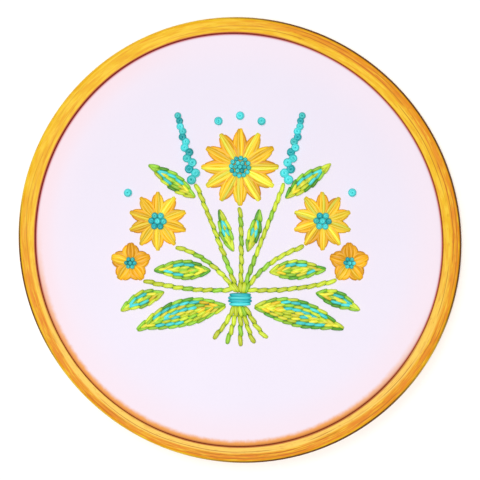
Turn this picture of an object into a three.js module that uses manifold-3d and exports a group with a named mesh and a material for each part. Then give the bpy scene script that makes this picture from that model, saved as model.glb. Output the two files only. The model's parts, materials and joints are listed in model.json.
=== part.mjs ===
// Hoop embroidery art: a round of white cotton stretched over an inner wooden ring, held by an outer ring,
// with a posy of daisies stitched on it.
// Millimetres, +Z up. The hoop lies on its back on z = 0, face up, with the top of the posy towards +Y.
import * as THREE from "three";
import { mergeVertices } from "three/addons/utils/BufferGeometryUtils.js";
import Module from "manifold-3d";

const wasm = await Module();
wasm.setup();

// Hoop: a six inch hoop, measured across the inside of its outer ring
const BORE_DIAMETER = 152.4;
const OUTER_WALL = 6.3;
const OUTER_HEIGHT = 10;
const INNER_WALL = 5;
const INNER_HEIGHT = 8.6;
const OUT_OF_ROUND = 0.01; // share by which the bent rings are longer one way and shorter the other
const LONG_AXIS_DEG = 126; // direction of the longer way, from +X towards +Y
const ROUND_STEPS = 60;
const CORNER_STEPS = 3;

// Edges of the two rings, as corner radii
const EDGE = { faceInside: 1.3, faceOutside: 2, back: 0.8, underCloth: 2 };

// Cloth
const GAP = 0.3; // between pieces that touch on the real thing
const CLOTH_THICKNESS = 1;
const TRIM_ABOVE_BACK = 0.6; // the turned-down edge is cut this far short of the back

// Levels worked out from the hoop and the cloth
const BORE_RADIUS = BORE_DIAMETER / 2;
const CLOTH_RADIUS = BORE_RADIUS - GAP;
const INNER_RADIUS = CLOTH_RADIUS - CLOTH_THICKNESS - GAP;
const CLOTH_BACK = INNER_HEIGHT + GAP;
const CLOTH_FACE = CLOTH_BACK + CLOTH_THICKNESS;
const STITCH_BASE = CLOTH_FACE + GAP;

// Thread work: how far each kind of stitching stands up from its base, and its widths
const STEM_WIDTH = 2;
const RISE = { petal: 1.2, leaf: 1.2, stem: 1.2, band: 1.5, eye: 1.1, knot: 1.3, heart: 0.5 };
const TIP_SHARE = 0.2; // width left at a pointed end, as a share of the full width
const KNOT_SIDES = 8;

// The posy is mirrored: each table gives the +X half, and SIDES makes both
const SIDES = [
  { side: "left", sign: -1 },
  { side: "right", sign: 1 },
];

// Daisies and blossoms: centre, outer radius, heart radius where the petals start, petals and their width
const MID_DAISY = { name: "daisy_mid", x: 0, y: 27, radius: 14.5, heart: 4, petals: 12, petalWidth: 4.9 };
const SIDE_FLOWERS = [
  { name: "daisy", x: 30.5, y: 7, radius: 11, heart: 3.2, petals: 10, petalWidth: 4.5 },
  { name: "blossom", x: 40.5, y: -8.5, radius: 7.5, heart: 2.2, petals: 5, petalWidth: 5.4 },
];

// Leaves: base, tip, width and how far the middle bows to the left of the way from base to tip
const LEAVES = [
  { name: "leaf_low", base: [5.6, -24.6], tip: [38, -33], width: 10.5, bow: 1.6 },
  { name: "leaf_outer", base: [28.4, -19.6], tip: [44, -26], width: 6.6, bow: 0.8 },
  { name: "leaf_middle", base: [11.2, -11.6], tip: [31.5, -11], width: 7.8, bow: 0.3 },
  { name: "leaf_inner", base: [2.7, -4], tip: [7.3, 11], width: 5.2, bow: -0.5 },
  { name: "leaf_upper", base: [17, 15.8], tip: [33.5, 27.8], width: 6.6, bow: 0.3 },
];

// Stems above the band and their tails below it: start, bend and end of each curve
const BAND = { x: 0, y: -22, width: 8, height: 4.6 };
const MID_STEM = { from: [0, -19.3], bend: [1, -4], to: [0, 11.9] };
const STEMS = [
  { from: [0.9, -19.3], bend: [7, -2], to: [16.3, 20.6] },
  { from: [1.7, -19.2], bend: [9, -7], to: [23.5, -2.5] },
  { from: [2.8, -18.4], bend: [18, -19.5], to: [35.5, -15.1] },
];
const MID_TAIL = { from: [0, -24.7], bend: [0.4, -32], to: [0, -39] };
const TAILS = [
  { from: [1.1, -24.7], bend: [2, -31], to: [5, -38.2] },
  { from: [2.2, -24.7], bend: [4.6, -31], to: [9.8, -36.4] },
];

// Flower spikes: knots in two staggered rows, getting smaller to the tip
const SPIKE = { from: [16.9, 22.6], to: [23, 46], knots: 13, stagger: 1.1, rootRadius: 1.8, tipRadius: 1.35 };

// Single knots: centres on the +X half, and those on the middle line
const DOT_RADIUS = 1.6;
const MIDDLE_DOTS = [{ name: "dot_top", x: 0, y: 46 }];
const SIDE_DOTS = [
  { name: "dot_high", x: 8, y: 44 },
  { name: "dot_far", x: 41.5, y: 17.5 },
];

// Materials
function material(color, roughness) {
  return new THREE.MeshStandardMaterial({ color, roughness, metalness: 0 });
}
const WOOD = material(0xf2b03a, 0.45);
const COTTON = material(0xf4eef8, 0.9);
const ORANGE_THREAD = material(0xf9a826, 0.55);
const YELLOW_THREAD = material(0xf2c52c, 0.55);
const LIME_THREAD = material(0xb5cc2a, 0.55);
const GREEN_THREAD = material(0x7db83a, 0.55);
const TURQUOISE_THREAD = material(0x35bcc6, 0.55);

// Joining and cutting
function solidOf(geometry) {
  const bare = geometry.clone();
  bare.deleteAttribute("normal");
  bare.deleteAttribute("uv");
  const merged = mergeVertices(bare);
  const vertProperties = new Float32Array(merged.attributes.position.array);
  const triVerts = new Uint32Array(merged.index.array);
  return new wasm.Manifold(new wasm.Mesh({ numProp: 3, vertProperties, triVerts }));
}

function joined(geometries) {
  const solid = geometries.map(solidOf).reduce((whole, piece) => whole.add(piece));
  const { vertProperties, triVerts } = solid.getMesh();
  const geometry = new THREE.BufferGeometry();
  geometry.setAttribute("position", new THREE.BufferAttribute(vertProperties, 3));
  geometry.setIndex(new THREE.BufferAttribute(triVerts, 1));
  geometry.computeVertexNormals();
  return geometry;
}

function node(name, geometry, finish) {
  const mesh = new THREE.Mesh(geometry, finish);
  mesh.name = name;
  return mesh;
}

// A rounded corner of a turned profile: an arc about (x, y) from one angle to another, in degrees
function corner(x, y, radius, fromDeg, toDeg) {
  return Array.from({ length: CORNER_STEPS + 1 }, (_, i) => {
    const angle = THREE.MathUtils.degToRad(fromDeg + ((toDeg - fromDeg) * i) / CORNER_STEPS);
    return new THREE.Vector2(x + radius * Math.cos(angle), y + radius * Math.sin(angle));
  });
}

// Turns a profile of (radius, height) about +Z, then pulls the round a little oval as bent wood is
function turnedOval(profile) {
  const turn = THREE.MathUtils.degToRad(LONG_AXIS_DEG);
  return new THREE.LatheGeometry(profile, ROUND_STEPS)
    .rotateX(Math.PI / 2)
    .scale(1 + OUT_OF_ROUND, 1 - OUT_OF_ROUND, 1)
    .rotateZ(turn);
}

function outerRing() {
  const outside = BORE_RADIUS + OUTER_WALL;
  const { faceInside, faceOutside, back } = EDGE;
  const profile = [
    ...corner(BORE_RADIUS + back, back, back, 180, 270),
    ...corner(outside - back, back, back, 270, 360),
    ...corner(outside - faceOutside, OUTER_HEIGHT - faceOutside, faceOutside, 0, 90),
    ...corner(BORE_RADIUS + faceInside, OUTER_HEIGHT - faceInside, faceInside, 90, 180),
  ];
  return turnedOval([...profile, profile[0]]);
}

function innerRing() {
  const inside = INNER_RADIUS - INNER_WALL;
  const { back, underCloth } = EDGE;
  const profile = [
    ...corner(inside + back, back, back, 180, 270),
    ...corner(INNER_RADIUS - back, back, back, 270, 360),
    ...corner(INNER_RADIUS - underCloth, INNER_HEIGHT - underCloth, underCloth, 0, 90),
    ...corner(inside + back, INNER_HEIGHT - back, back, 90, 180),
  ];
  return turnedOval([...profile, profile[0]]);
}

// The cloth lies flat over the inner ring, rolls over its edge and hangs down between the rings
function cloth() {
  const backRoll = EDGE.underCloth + GAP;
  const faceRoll = backRoll + CLOTH_THICKNESS;
  const rollRadius = CLOTH_RADIUS - faceRoll;
  const rollHeight = CLOTH_FACE - faceRoll;
  const profile = [
    new THREE.Vector2(0, CLOTH_BACK),
    ...corner(rollRadius, rollHeight, backRoll, 90, 0),
    new THREE.Vector2(CLOTH_RADIUS - CLOTH_THICKNESS, TRIM_ABOVE_BACK),
    new THREE.Vector2(CLOTH_RADIUS, TRIM_ABOVE_BACK),
    ...corner(rollRadius, rollHeight, faceRoll, 0, 90),
    new THREE.Vector2(0, CLOTH_FACE),
  ];
  return turnedOval(profile);
}

// Cross-sections of thread work, as shares of the half width and of the rise, from left to right
const PLUMP = [
  { across: -1, up: 0 },
  { across: -0.62, up: 0.84 },
  { across: 0, up: 1 },
  { across: 0.62, up: 0.84 },
  { across: 1, up: 0 },
];
const VEINED = [
  { across: -1, up: 0 },
  { across: -0.55, up: 1 },
  { across: 0, up: 0.62 },
  { across: 0.55, up: 1 },
  { across: 1, up: 0 },
];

// A flat-bottomed ridge of thread along a curve; halfWidth(t) and rise shape it from its start to its end
function ridge({ curve, steps, halfWidth, rise, section = PLUMP, base = STITCH_BASE }) {
  const positions = [];
  const triangles = [];
  const count = section.length;
  for (let i = 0; i <= steps; i++) {
    const t = i / steps;
    const middle = curve.getPointAt(t);
    const way = curve.getTangentAt(t);
    const width = halfWidth(t);
    for (const { across, up } of section) {
      positions.push(middle.x + way.y * across * width, middle.y - way.x * across * width, base + up * rise);
    }
  }
  for (let i = 0; i < steps; i++) {
    for (let k = 0; k < count; k++) {
      const [a, b] = [i * count + k, i * count + ((k + 1) % count)];
      triangles.push(a, b, a + count, b, b + count, a + count);
    }
  }
  const last = steps * count;
  for (let k = 1; k < count - 1; k++) {
    triangles.push(0, k + 1, k, last, last + k, last + k + 1);
  }
  const geometry = new THREE.BufferGeometry();
  geometry.setAttribute("position", new THREE.Float32BufferAttribute(positions, 3));
  geometry.setIndex(triangles);
  geometry.computeVertexNormals();
  return geometry;
}

const spot = ([x, y]) => new THREE.Vector3(x, y, 0);

// Half width of a petal or leaf: pointed at both ends, fullest where belly says
function pointed(width, belly) {
  const power = Math.log(0.5) / Math.log(belly);
  return (t) => (width / 2) * Math.max(TIP_SHARE, Math.sin(Math.PI * t ** power) ** 0.8);
}

function petal(flower, index) {
  const angle = (index / flower.petals) * 2 * Math.PI + Math.PI / 2;
  const reach = (radius) => [flower.x + radius * Math.cos(angle), flower.y + radius * Math.sin(angle)];
  const root = flower.heart * 0.6;
  return ridge({
    curve: new THREE.LineCurve3(spot(reach(root)), spot(reach(flower.radius))),
    steps: 6,
    halfWidth: pointed(flower.petalWidth, 0.62),
    rise: RISE.petal,
  });
}

// A low dome of knotted thread
function dome(x, y, radius, rise, base) {
  const profile = [
    new THREE.Vector2(0, 0),
    new THREE.Vector2(radius, 0),
    new THREE.Vector2(radius * 0.9, rise * 0.55),
    new THREE.Vector2(radius * 0.5, rise * 0.92),
    new THREE.Vector2(0, rise),
  ];
  return new THREE.LatheGeometry(profile, KNOT_SIDES).rotateX(Math.PI / 2).translate(x, y, base);
}

// Petals stand round a thin heart of thread; the knotted eye sits on the heart
function flowerHead(flower, finish) {
  const { name, x, y } = flower;
  const heart = dome(x, y, flower.heart, RISE.heart, STITCH_BASE);
  const petals = Array.from({ length: flower.petals }, (_, i) => petal(flower, i));
  const eyeBase = STITCH_BASE + RISE.petal + GAP;
  const eye = dome(x, y, flower.heart, RISE.eye, eyeBase);
  return [node(`${name}_petals`, joined([heart, ...petals]), finish), node(`${name}_eye`, eye, TURQUOISE_THREAD)];
}

function leaf({ base, tip, width, bow }) {
  const way = spot(tip).sub(spot(base));
  const middle = spot(base).addScaledVector(way, 0.5);
  const aside = new THREE.Vector3(-way.y, way.x, 0).setLength(2 * bow);
  return ridge({
    curve: new THREE.QuadraticBezierCurve3(spot(base), middle.add(aside), spot(tip)),
    steps: 9,
    halfWidth: pointed(width, 0.45),
    rise: RISE.leaf,
    section: VEINED,
  });
}

function stem({ from, bend, to }, steps) {
  return ridge({
    curve: new THREE.QuadraticBezierCurve3(spot(from), spot(bend), spot(to)),
    steps,
    halfWidth: () => STEM_WIDTH / 2,
    rise: RISE.stem,
  });
}

function band() {
  const { x, y, width, height } = BAND;
  return ridge({
    curve: new THREE.LineCurve3(spot([x - width / 2, y]), spot([x + width / 2, y])),
    steps: 6,
    halfWidth: (t) => (height / 2) * (0.8 + 0.2 * Math.sin(Math.PI * t)),
    rise: RISE.band,
  });
}

function spike(sign) {
  const { from, to, knots, stagger, rootRadius, tipRadius } = SPIKE;
  const way = spot(to).sub(spot(from));
  const aside = new THREE.Vector3(-way.y, way.x, 0).normalize();
  const pieces = Array.from({ length: knots }, (_, i) => {
    const t = i / (knots - 1);
    const swing = (i % 2 ? 1 : -1) * stagger * (1 - t);
    const place = spot(from).addScaledVector(way, t).addScaledVector(aside, swing);
    const radius = rootRadius + (tipRadius - rootRadius) * t;
    return dome(sign * place.x, place.y, radius, RISE.knot, STITCH_BASE);
  });
  return joined(pieces);
}

const mirrored = (sign, [x, y]) => [sign * x, y];

function mirroredCurve(sign, { from, bend, to }) {
  return { from: mirrored(sign, from), bend: mirrored(sign, bend), to: mirrored(sign, to) };
}

function mirroredLeaf(sign, { base, tip, width, bow }) {
  return { base: mirrored(sign, base), tip: mirrored(sign, tip), width, bow: sign * bow };
}

// The hoop and the cloth
const hoopArt = new THREE.Group();
hoopArt.add(node("outer_ring", outerRing(), WOOD));
hoopArt.add(node("inner_ring", innerRing(), WOOD));
hoopArt.add(node("cloth", cloth(), COTTON));

// The posy: flowers, leaves, stems, band, spikes and single knots
hoopArt.add(...flowerHead(MID_DAISY, ORANGE_THREAD));
for (const { side, sign } of SIDES) {
  for (const flower of SIDE_FLOWERS) {
    const placed = { ...flower, name: `${flower.name}_${side}`, x: sign * flower.x };
    hoopArt.add(...flowerHead(placed, flower.name === "daisy" ? YELLOW_THREAD : ORANGE_THREAD));
  }
  for (const row of LEAVES) {
    hoopArt.add(node(`${row.name}_${side}`, leaf(mirroredLeaf(sign, row)), GREEN_THREAD));
  }
  hoopArt.add(node(`spike_${side}`, spike(sign), TURQUOISE_THREAD));
  for (const { name, x, y } of SIDE_DOTS) {
    const knot = dome(sign * x, y, DOT_RADIUS, RISE.knot, STITCH_BASE);
    hoopArt.add(node(`${name}_${side}`, knot, TURQUOISE_THREAD));
  }
}
for (const { name, x, y } of MIDDLE_DOTS) {
  hoopArt.add(node(name, dome(x, y, DOT_RADIUS, RISE.knot, STITCH_BASE), TURQUOISE_THREAD));
}

const bothSides = (rows) => SIDES.flatMap(({ sign }) => rows.map((row) => mirroredCurve(sign, row)));
const stems = [MID_STEM, ...bothSides(STEMS)].map((row) => stem(row, 12));
const tails = [MID_TAIL, ...bothSides(TAILS)].map((row) => stem(row, 4));
hoopArt.add(node("stems", joined(stems), LIME_THREAD));
hoopArt.add(node("stem_tails", joined(tails), LIME_THREAD));
hoopArt.add(node("tie_band", band(), TURQUOISE_THREAD));

export default hoopArt;
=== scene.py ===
"""Hoop embroidery art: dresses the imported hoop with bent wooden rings, cotton and a stitched posy.

Every stitch is a plump thread of its own that comes up through the cloth and goes down again.
Metres, +Z out of the stitched face. The hoop lies on its back on z = 0.
"""
import json
import math
import random

import bmesh
import bpy
import numpy as np
from bpy.props import FloatProperty, FloatVectorProperty, PointerProperty
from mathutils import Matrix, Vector


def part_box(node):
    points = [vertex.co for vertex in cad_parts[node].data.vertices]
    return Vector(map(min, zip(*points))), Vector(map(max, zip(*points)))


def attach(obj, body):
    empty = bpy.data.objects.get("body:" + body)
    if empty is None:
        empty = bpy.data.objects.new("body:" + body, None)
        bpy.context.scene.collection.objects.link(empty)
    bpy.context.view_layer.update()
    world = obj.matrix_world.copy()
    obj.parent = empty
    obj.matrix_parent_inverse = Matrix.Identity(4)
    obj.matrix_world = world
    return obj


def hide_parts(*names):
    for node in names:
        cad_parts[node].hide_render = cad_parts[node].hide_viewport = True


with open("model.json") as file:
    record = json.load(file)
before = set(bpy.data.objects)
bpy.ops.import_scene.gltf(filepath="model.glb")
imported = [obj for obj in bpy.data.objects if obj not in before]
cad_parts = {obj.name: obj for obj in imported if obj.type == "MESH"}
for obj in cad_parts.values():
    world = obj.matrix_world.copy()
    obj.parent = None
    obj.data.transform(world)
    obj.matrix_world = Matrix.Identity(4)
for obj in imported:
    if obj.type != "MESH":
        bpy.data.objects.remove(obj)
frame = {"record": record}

bl_info = {
    "name": "Hoop embroidery art",
    "version": (1, 0, 0),
    "blender": (4, 5, 0),
    "location": "3D View > Sidebar > Hoop art",
    "description": "Bends a wooden hoop, stretches cotton in it and stitches a posy of daisies",
    "category": "Add Mesh",
}

MM = 0.001
TURN = 2 * math.pi
SIDES = {"left": -1, "right": 1}
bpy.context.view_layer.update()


def mean_radius(node):
    """Mean outside radius of a round CAD node."""
    low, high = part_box(node)
    return (high.x - low.x + high.y - low.y) / 4


# Sizes read from the frame
COTTON_SWELL = 0.2 * MM  # by which the pressed cotton fills the gap that the solids keep
OUTER_RADIUS = mean_radius("outer_ring")
CLOTH_RADIUS = mean_radius("cloth") + COTTON_SWELL
HOOP_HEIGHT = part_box("outer_ring")[1].z
CLOTH_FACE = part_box("cloth")[1].z
CLOTH_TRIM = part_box("cloth")[0].z

# Edges of the rings, as corner radii
EDGE_FACE_INSIDE = 0.3 * MM
EDGE_FACE_OUTSIDE = 1.3 * MM
EDGE_BACK = 0.8 * MM
EDGE_UNDER_CLOTH = 1.5 * MM
SEAT = 0.1 * MM  # daylight left between ring and cloth where they press together

# Steps of the turned shapes
ROUND_STEPS = 288
CORNER_STEPS = 7
FACE_STEPS = 8
DISC_RINGS = 48
JOIN_REACH = 0.001 * MM  # points that lie closer together are joined

# Slow waves that keep bent wood and stretched cotton from being perfect: turns round the hoop, shift, size
RING_WAVES = ((5, 1.3, 0.07 * MM), (9, 0.4, 0.04 * MM), (17, 2.1, 0.02 * MM))
BORE_WAVES = ((1, -1.8, 0.55 * MM), (2, -1.0, 0.35 * MM), (3, 2.1, 0.28 * MM))
CLOTH_WAVES = ((7, 0.2, 0.05 * MM), (13, 1.7, 0.04 * MM), (29, 0.9, 0.03 * MM))
FACE_WAVE = 0.6  # how much of the waves the cloth's face has
TRIM_WAVE = 2  # and its trimmed edge

# Shares of the cloth's radius between which it comes to follow the uneven bore
HELD_FROM = 0.75
HELD_FULLY = 0.92

# Noise of the wood: how fast it changes round the hoop and across a metre of its width, and its detail
GRAIN_NOISE = {
    "streak": {"along": 1.5, "across": 1300, "detail": 3},
    "mottle": {"along": 9, "across": 1100, "detail": 3},
    "fibre": {"along": 14, "across": 3200, "detail": 2},
    "fleck": {"along": 30, "across": 2600, "detail": 1},
    "wander": {"along": 1.6, "across": 0, "detail": 1},
}
GRAIN_ROUGHNESS = 0.55
GRAIN_LEAN = 0.7  # how fast it changes with height, by how fast it does across the width
GRAIN_WANDER = 0.5  # share of the face's width by which bands and lines wander

# Levels of that noise at which each marking starts and is full
LEVELS = {
    "light_mottle": (0.44, 0.58),
    "dark_mottle": (0.44, 0.33),
    "dark_streak": (0.46, 0.37),
    "dark_fibre": (0.47, 0.34),
    "band": (0.72, 0.45),
    "fleck": (0.64, 0.74),
    "line": (0.5, 0.58),
}

# Shares of the face's width, from the inside, at which each marking starts and is full
FACE = {
    "band_inside": (0.34, 0.5),
    "band_outside": (0.92, 0.78),
    # painted highlight: the lit inner half of the face at the bottom
    "pale": (0.46, 0.34),
    # painted highlight on the rounded outside edge
    "edge_highlight": (0.84, 0.92),
    # painted shade on the dark outside edge
    "dark_edge": (0.85, 0.9),
    # painted shade in the gap beside the cloth
    "shallow_gap": (0.04, 0.01),
    "deep_gap": (0.1, 0.03),
}

# Heights under the face between which the ring's side begins, by the radius of its outside edge
SHOULDER = (1.5, 0.9)

# Long dark lines of the grain: share of the face's width, and how fast the noise that breaks them up changes
# across a metre of it
GRAIN_LINES = ((0.3, 150), (0.5, 260), (0.7, 370))
LINE_WIDTH = (0.034, 0.01)  # distances from a line, as shares of the width, where it starts and is full
LINE_BREAKS = 2.8  # how fast that noise changes round the hoop
LINE_DETAIL = 1
LINE_LEAST = 0.4  # strength of the lines where the grain isn't heavy
FLECK_STRENGTH = 0.5

# Stretches of the hoop, in degrees: direction, how far to each side they end and are full, and strength
HEAVY_GRAIN = (
    {"at": -95, "ends": 110, "full": 63, "strength": 1.0},
    {"at": 32, "ends": 72, "full": 32, "strength": 0.9},
)
# Stretches with the painted shade on the outside edge
DARK_EDGE = (
    {"at": 32, "ends": 72, "full": 42, "strength": 1.0},
    {"at": -67, "ends": 40, "full": 14, "strength": 1.0},
    {"at": 192, "ends": 26, "full": 6, "strength": 1.0},
)
# Stretches with deeper painted shade in the gap beside the cloth
DEEP_GAP = (
    {"at": 138, "ends": 85, "full": 45, "strength": 1.0},
    {"at": -75, "ends": 62, "full": 22, "strength": 0.85},
)
SHALLOW_GAP = 0.35  # strength of the painted shade in the gap all round
# Stretch at the bottom with the painted highlight on the inner half of the face
BOTTOM_HIGHLIGHT = {"at": -90, "ends": 96, "full": 46, "strength": 1.0}
PINK_LEFT = {"at": 160, "ends": 60, "full": 28, "strength": 0.42}
# Stretch at the bottom with the painted reflection of the orange wood on the cotton
PEACH_RIM = {"at": -103, "ends": 88, "full": 35, "strength": 1.0}

# Cotton: its uneven threads and faint clouds, and how much dimmer its pits, clouds and upper half are; the
# dim pits and the dim upper half are painted shade
SLUB_SCALE = 420
SLUB_PULL = 1.2  # by which the threads of the weave stray
CLOUD_SCALE = 38
COTTON_DIM = 0.9  # of its colour where it is dimmest
PIT_LEVEL = 0.8  # height in the weave under which it dims
PIT_SHADE = 0.3
CLOUD_SHADE = 0.3
UPPER_SHADE = 0.45
UPPER_REACH = 0.8 * CLOTH_RADIUS  # to both sides of the middle, over which the upper half dims

# Tints of the cotton, in from its rim in radii of its turn: where they start and are full; the rim and hem
# tints are painted reflection of the orange wood and painted shade in the gap
RIM_TINTS = {"blush": (12, 0), "flush": (6, 1), "rim": (2, 0.7), "hem": (0.6, 0.1)}
HEM_HEIGHTS = (3, 1)  # and under its face
HEM_STRENGTH = 0.85
RIM_STRAY = 1.2 * MM  # by which the roll's tint is uneven
BLUSH_LEAST = 0.55  # strength of the blush at the top
BLUSH_SIDES = (0.5, -0.5)  # how far up a direction points where it starts to grow and is full

# Flowers by kind: petals, a petal's width in millimetres, and its colours at its sides and its middle
FLOWERS = {
    "daisy_mid": {
        "petals": 12, "width": 5.0, "side": ("orange", "amber"), "middle": ("yellow", "amber", "lemon"),
    },
    "daisy": {
        "petals": 10, "width": 4.4, "side": ("amber", "orange"), "middle": ("yellow", "amber", "lemon"),
    },
    "blossom": {"petals": 5, "width": 6.0, "side": ("orange",), "middle": ("amber", "orange")},
}
FLOWER_NODES = {
    "daisy_mid": "daisy_mid",
    "daisy_left": "daisy",
    "daisy_right": "daisy",
    "blossom_left": "blossom",
    "blossom_right": "blossom",
}

# Threads of a petal
PETAL_THREADS = 4
PETAL_FOOT = 0.45  # where they start, by the eye's radius
PETAL_FOOT_STEP = 0.2  # and how much further out at the petal's sides
PETAL_TIP_DROP = 0.26  # by which they end short of the tip at its sides, by the eye's radius
PETAL_TIP_POWER = 1.4
PETAL_TIP_STEP = 0.5 * MM  # and by length
PETAL_FOOT_SPREAD = 0.4  # how far apart they start, by the room they have
PETAL_TIP_SPREAD = 0.42  # and end
PETAL_BOW = 0.6  # by which they bow out in between
PETAL_OVERLAP = 1.3  # width of a thread, by the room it has
PETAL_TIP_SHADE = 0.3  # of the shade that the ends of other stitches have
PETAL_CROWN = 0.14  # share by which the threads at a petal's sides are lower than those at its middle

# Knots of a flower's eye
EYE_KNOT = 0.95 * MM  # about their radius
EYE_FILL = 1.18  # their size, by the room they have
EYE_AROUND = 6  # more of them in each ring than in the one inside it
EYE_INSET = 0.75  # of the outer ring of knots, by a knot's radius
EYE_BASE = CLOTH_FACE + 0.5 * MM
EYE_DOME = 0.25 * MM  # by which the outer knots are lower
EYE_TURNS = 3
EYE_DARK = 0.25  # share of dark knots

# Leaves on the +X half, in millimetres: base, tip, width and how far the middle bows to the left of the way
LEAVES = {
    "leaf_low": {"base": (5.6, -24.6), "tip": (38, -33), "width": 10.5, "bow": 1.6},
    "leaf_outer": {"base": (28.4, -19.6), "tip": (44, -26), "width": 6.6, "bow": 0.8},
    "leaf_middle": {"base": (11.2, -11.6), "tip": (31.5, -11), "width": 7.8, "bow": 0.3},
    "leaf_inner": {"base": (2.7, -4), "tip": (7.3, 11), "width": 5.2, "bow": -0.5},
    "leaf_upper": {"base": (17, 15.8), "tip": (33.5, 27.8), "width": 6.6, "bow": 0.3},
}
LEAF_BELLY = 0.45  # where along its length a leaf is widest
LEAF_FULLNESS = 0.8  # power of its outline: the smaller, the fuller
LEAF_TIP_SHARE = 0.2  # least share of its width, at base and tip
LEAF_EDGE = 0.7 * MM  # from a leaf's edge to the middle of its outline stitches
LEAF_ROW = 1.15 * MM  # between rows of stitches in a leaf
LEAF_THREAD = 1.08 * LEAF_ROW
LEAF_MIDDLE = 0.3 * MM  # room left beside the row on the middle line
LEAF_MIDDLE_SPAN = (0.03, 0.96)
LEAF_EASE = 0.1 * MM  # by which a row may go past the middle line at its ends
LEAF_SLANT = 0.24 * MM  # by which a leaf's stitches cross their row to both sides
LEAF_OUTLINE = ("green", "deep_green", "green", "lime")
LEAF_FILL = ("lime", "lemon", "lime", "green")
LEAF_FOOT = ("yellow", "lemon")
LEAF_FOOT_REACH = 0.26  # share of the length, from the base, with the foot's colours
LEAF_BRIGHT = ("turquoise", "turquoise", "turquoise", "turquoise", "lemon")
LEAF_HIGHLIGHTS = {1: (0.3, 0.76), -1: (0.46, 0.84)}  # on each side, the bright part of the length

# Stems and tails on the +X half and on the middle line, in millimetres: start, bend and end
MID_STEM = {"start": (0, -19.3), "bend": (1, -4), "end": (0, 11.9)}
STEMS = (
    {"start": (0.9, -19.3), "bend": (7, -2), "end": (16.3, 20.6)},
    {"start": (1.7, -19.2), "bend": (9, -7), "end": (23.5, -2.5)},
    {"start": (2.8, -18.4), "bend": (18, -19.5), "end": (35.5, -15.1)},
)
MID_TAIL = {"start": (0, -24.7), "bend": (0.4, -32), "end": (0, -39)}
TAILS = (
    {"start": (1.1, -24.7), "bend": (2, -31), "end": (5, -38.2)},
    {"start": (2.2, -24.7), "bend": (4.6, -31), "end": (9.8, -36.4)},
)
STEM_COLOURS = ("lime", "green", "lime", "lime")
STEM_SLANT = 0.34 * MM  # by which a stem's stitches cross its line to both sides
STEM_CORE = 1.4 * MM  # width of the dark thread under the stitches
STEM_CORE_SPAN = (0.05, 0.95)

# Wraps of the band
BAND_WRAPS = 4
BAND_OVERLAP = 1.2  # their width, by the room they have
BAND_HEIGHT = 1.25  # their height, by a stitch's
BAND_INSET = 0.4 * MM  # by which the first and the last are shorter at each end

# Flower spikes on the +X half, in millimetres: knots in two staggered rows, smaller to the tip
SPIKE = {"start": (16.9, 22.6), "end": (23, 46), "knots": 13, "stagger": 1.1, "root": 1.8, "tip": 1.35}
DOTS = ("dot_top", "dot_high_left", "dot_high_right", "dot_far_left", "dot_far_right")

# Thread mesh: points round a thread, on the face and on the back, and the spacing of its rings
SIDES_PER_STRAND = 3
THREAD_SIDES = 6 * SIDES_PER_STRAND
BACK_SIDES = 3 * SIDES_PER_STRAND
RING_SPACING = 0.32 * MM
STRAND_DEPTH = 0.09
STRAND_LAY = 9 * MM  # length in which the strands turn once round the thread
LINE_STEPS = 201
WAY_STEP = 0.2 * MM  # to each side of a place, for the direction of a line there

# Stitches: how much they differ, and their form
WIDTH_SPREAD = 0.06
HEIGHT_SPREAD = 0.05
STITCH_SLACK = 0.1 * MM  # by which a stitch starts and ends out of line
STITCH_RINGS = (9, 28)  # fewest and most
STITCH_POWER = 0.33  # of its swelling: the smaller, the blunter its ends
STITCH_OVER = 0.43  # share of its height by which its middle lies over the cloth
STITCH_UNDER = 0.38  # and its ends under it
STITCH_END = 0.58  # share of its thickness at its ends
STITCH_DIP = 0.5  # level of its arch under which it lies in shade

# Knots
KNOT_RINGS = 38
KNOT_THREAD = 0.8  # thickness of the thread, by the knot's radius
KNOT_TURNS = 2
KNOT_DRAWN_IN = 0.62  # share by which the coil narrows
KNOT_FOOT = 0.34  # from the cloth to the middle of the thread at its start, by its thickness
KNOT_HEAD = 0.42  # from the knot's top to the middle of the thread at its end
KNOT_CLIMB = 0.85  # share of the thread that climbs to the top
KNOT_CLIMB_POWER = 1.2
KNOT_TILT = 0.16  # by which a coil leans, by the knot's radius
KNOT_END = 0.8  # share of the thread's thickness at both ends
KNOT_TAPER = 1.1  # how soon the thread thins

# The low thread under stems and leaves, darkened all along by painted shade
PADDING_HEIGHT = 0.75 * MM
PADDING_LIFT = 0.3  # of its middle over the cloth, by its height
PADDING_RINGS = (8, 40)  # fewest and most
PADDING_SPAN = (0.08, 0.92)  # part of a half wave that its height follows
PADDING_POWER = 0.3

# Furrows of a thread: how deep it lies in shade between strands, on the underside and at the ends
FURROW_STRANDS = 0.9
FURROW_UNDER = 0.5
FURROW_ENDS = 0.8

# Colour of a thread: how much darker and deeper in a furrow, as painted shade, how pale on a ridge, as a
# painted highlight, and how much stitches and fibres differ
FURROW_SHADE = 0.3
FURROW_GAMMA = 0.42
RIDGE_GAMMA = 0.9
TONE_SPREAD = 0.34
HUE_SPREAD = 0.03
FLUFF_SCALE = 2600
FLUFF_SHADE = 0.2
THREAD_COLOURS = ("orange", "amber", "yellow", "lemon", "lime", "green", "deep_green", "turquoise", "teal")

# Thread carried across the back of the cloth: its flattened section, and the longest run before it is cut
CARRIED_WIDTH = 1.1 * MM
CARRIED_HEIGHT = 0.5 * MM
LONGEST_RUN = 13 * MM

# Stage: lamps that look at the middle of the hoop's back, the floor and the camera
LAMPS = {
    "key": {"place": (-0.25, 0.35, 1.0), "size": 0.45},
    "overhead": {"place": (-0.05, -0.05, 1.2), "size": 0.35},
}
FLOOR_REACH = 0.6
FLOOR_DIM = 0.985  # of its colour where the faint mottling is darkest
FLOOR_MOTTLE = 3
SENSOR = 36  # width in millimetres
WHITE = (1, 1, 1)


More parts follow.
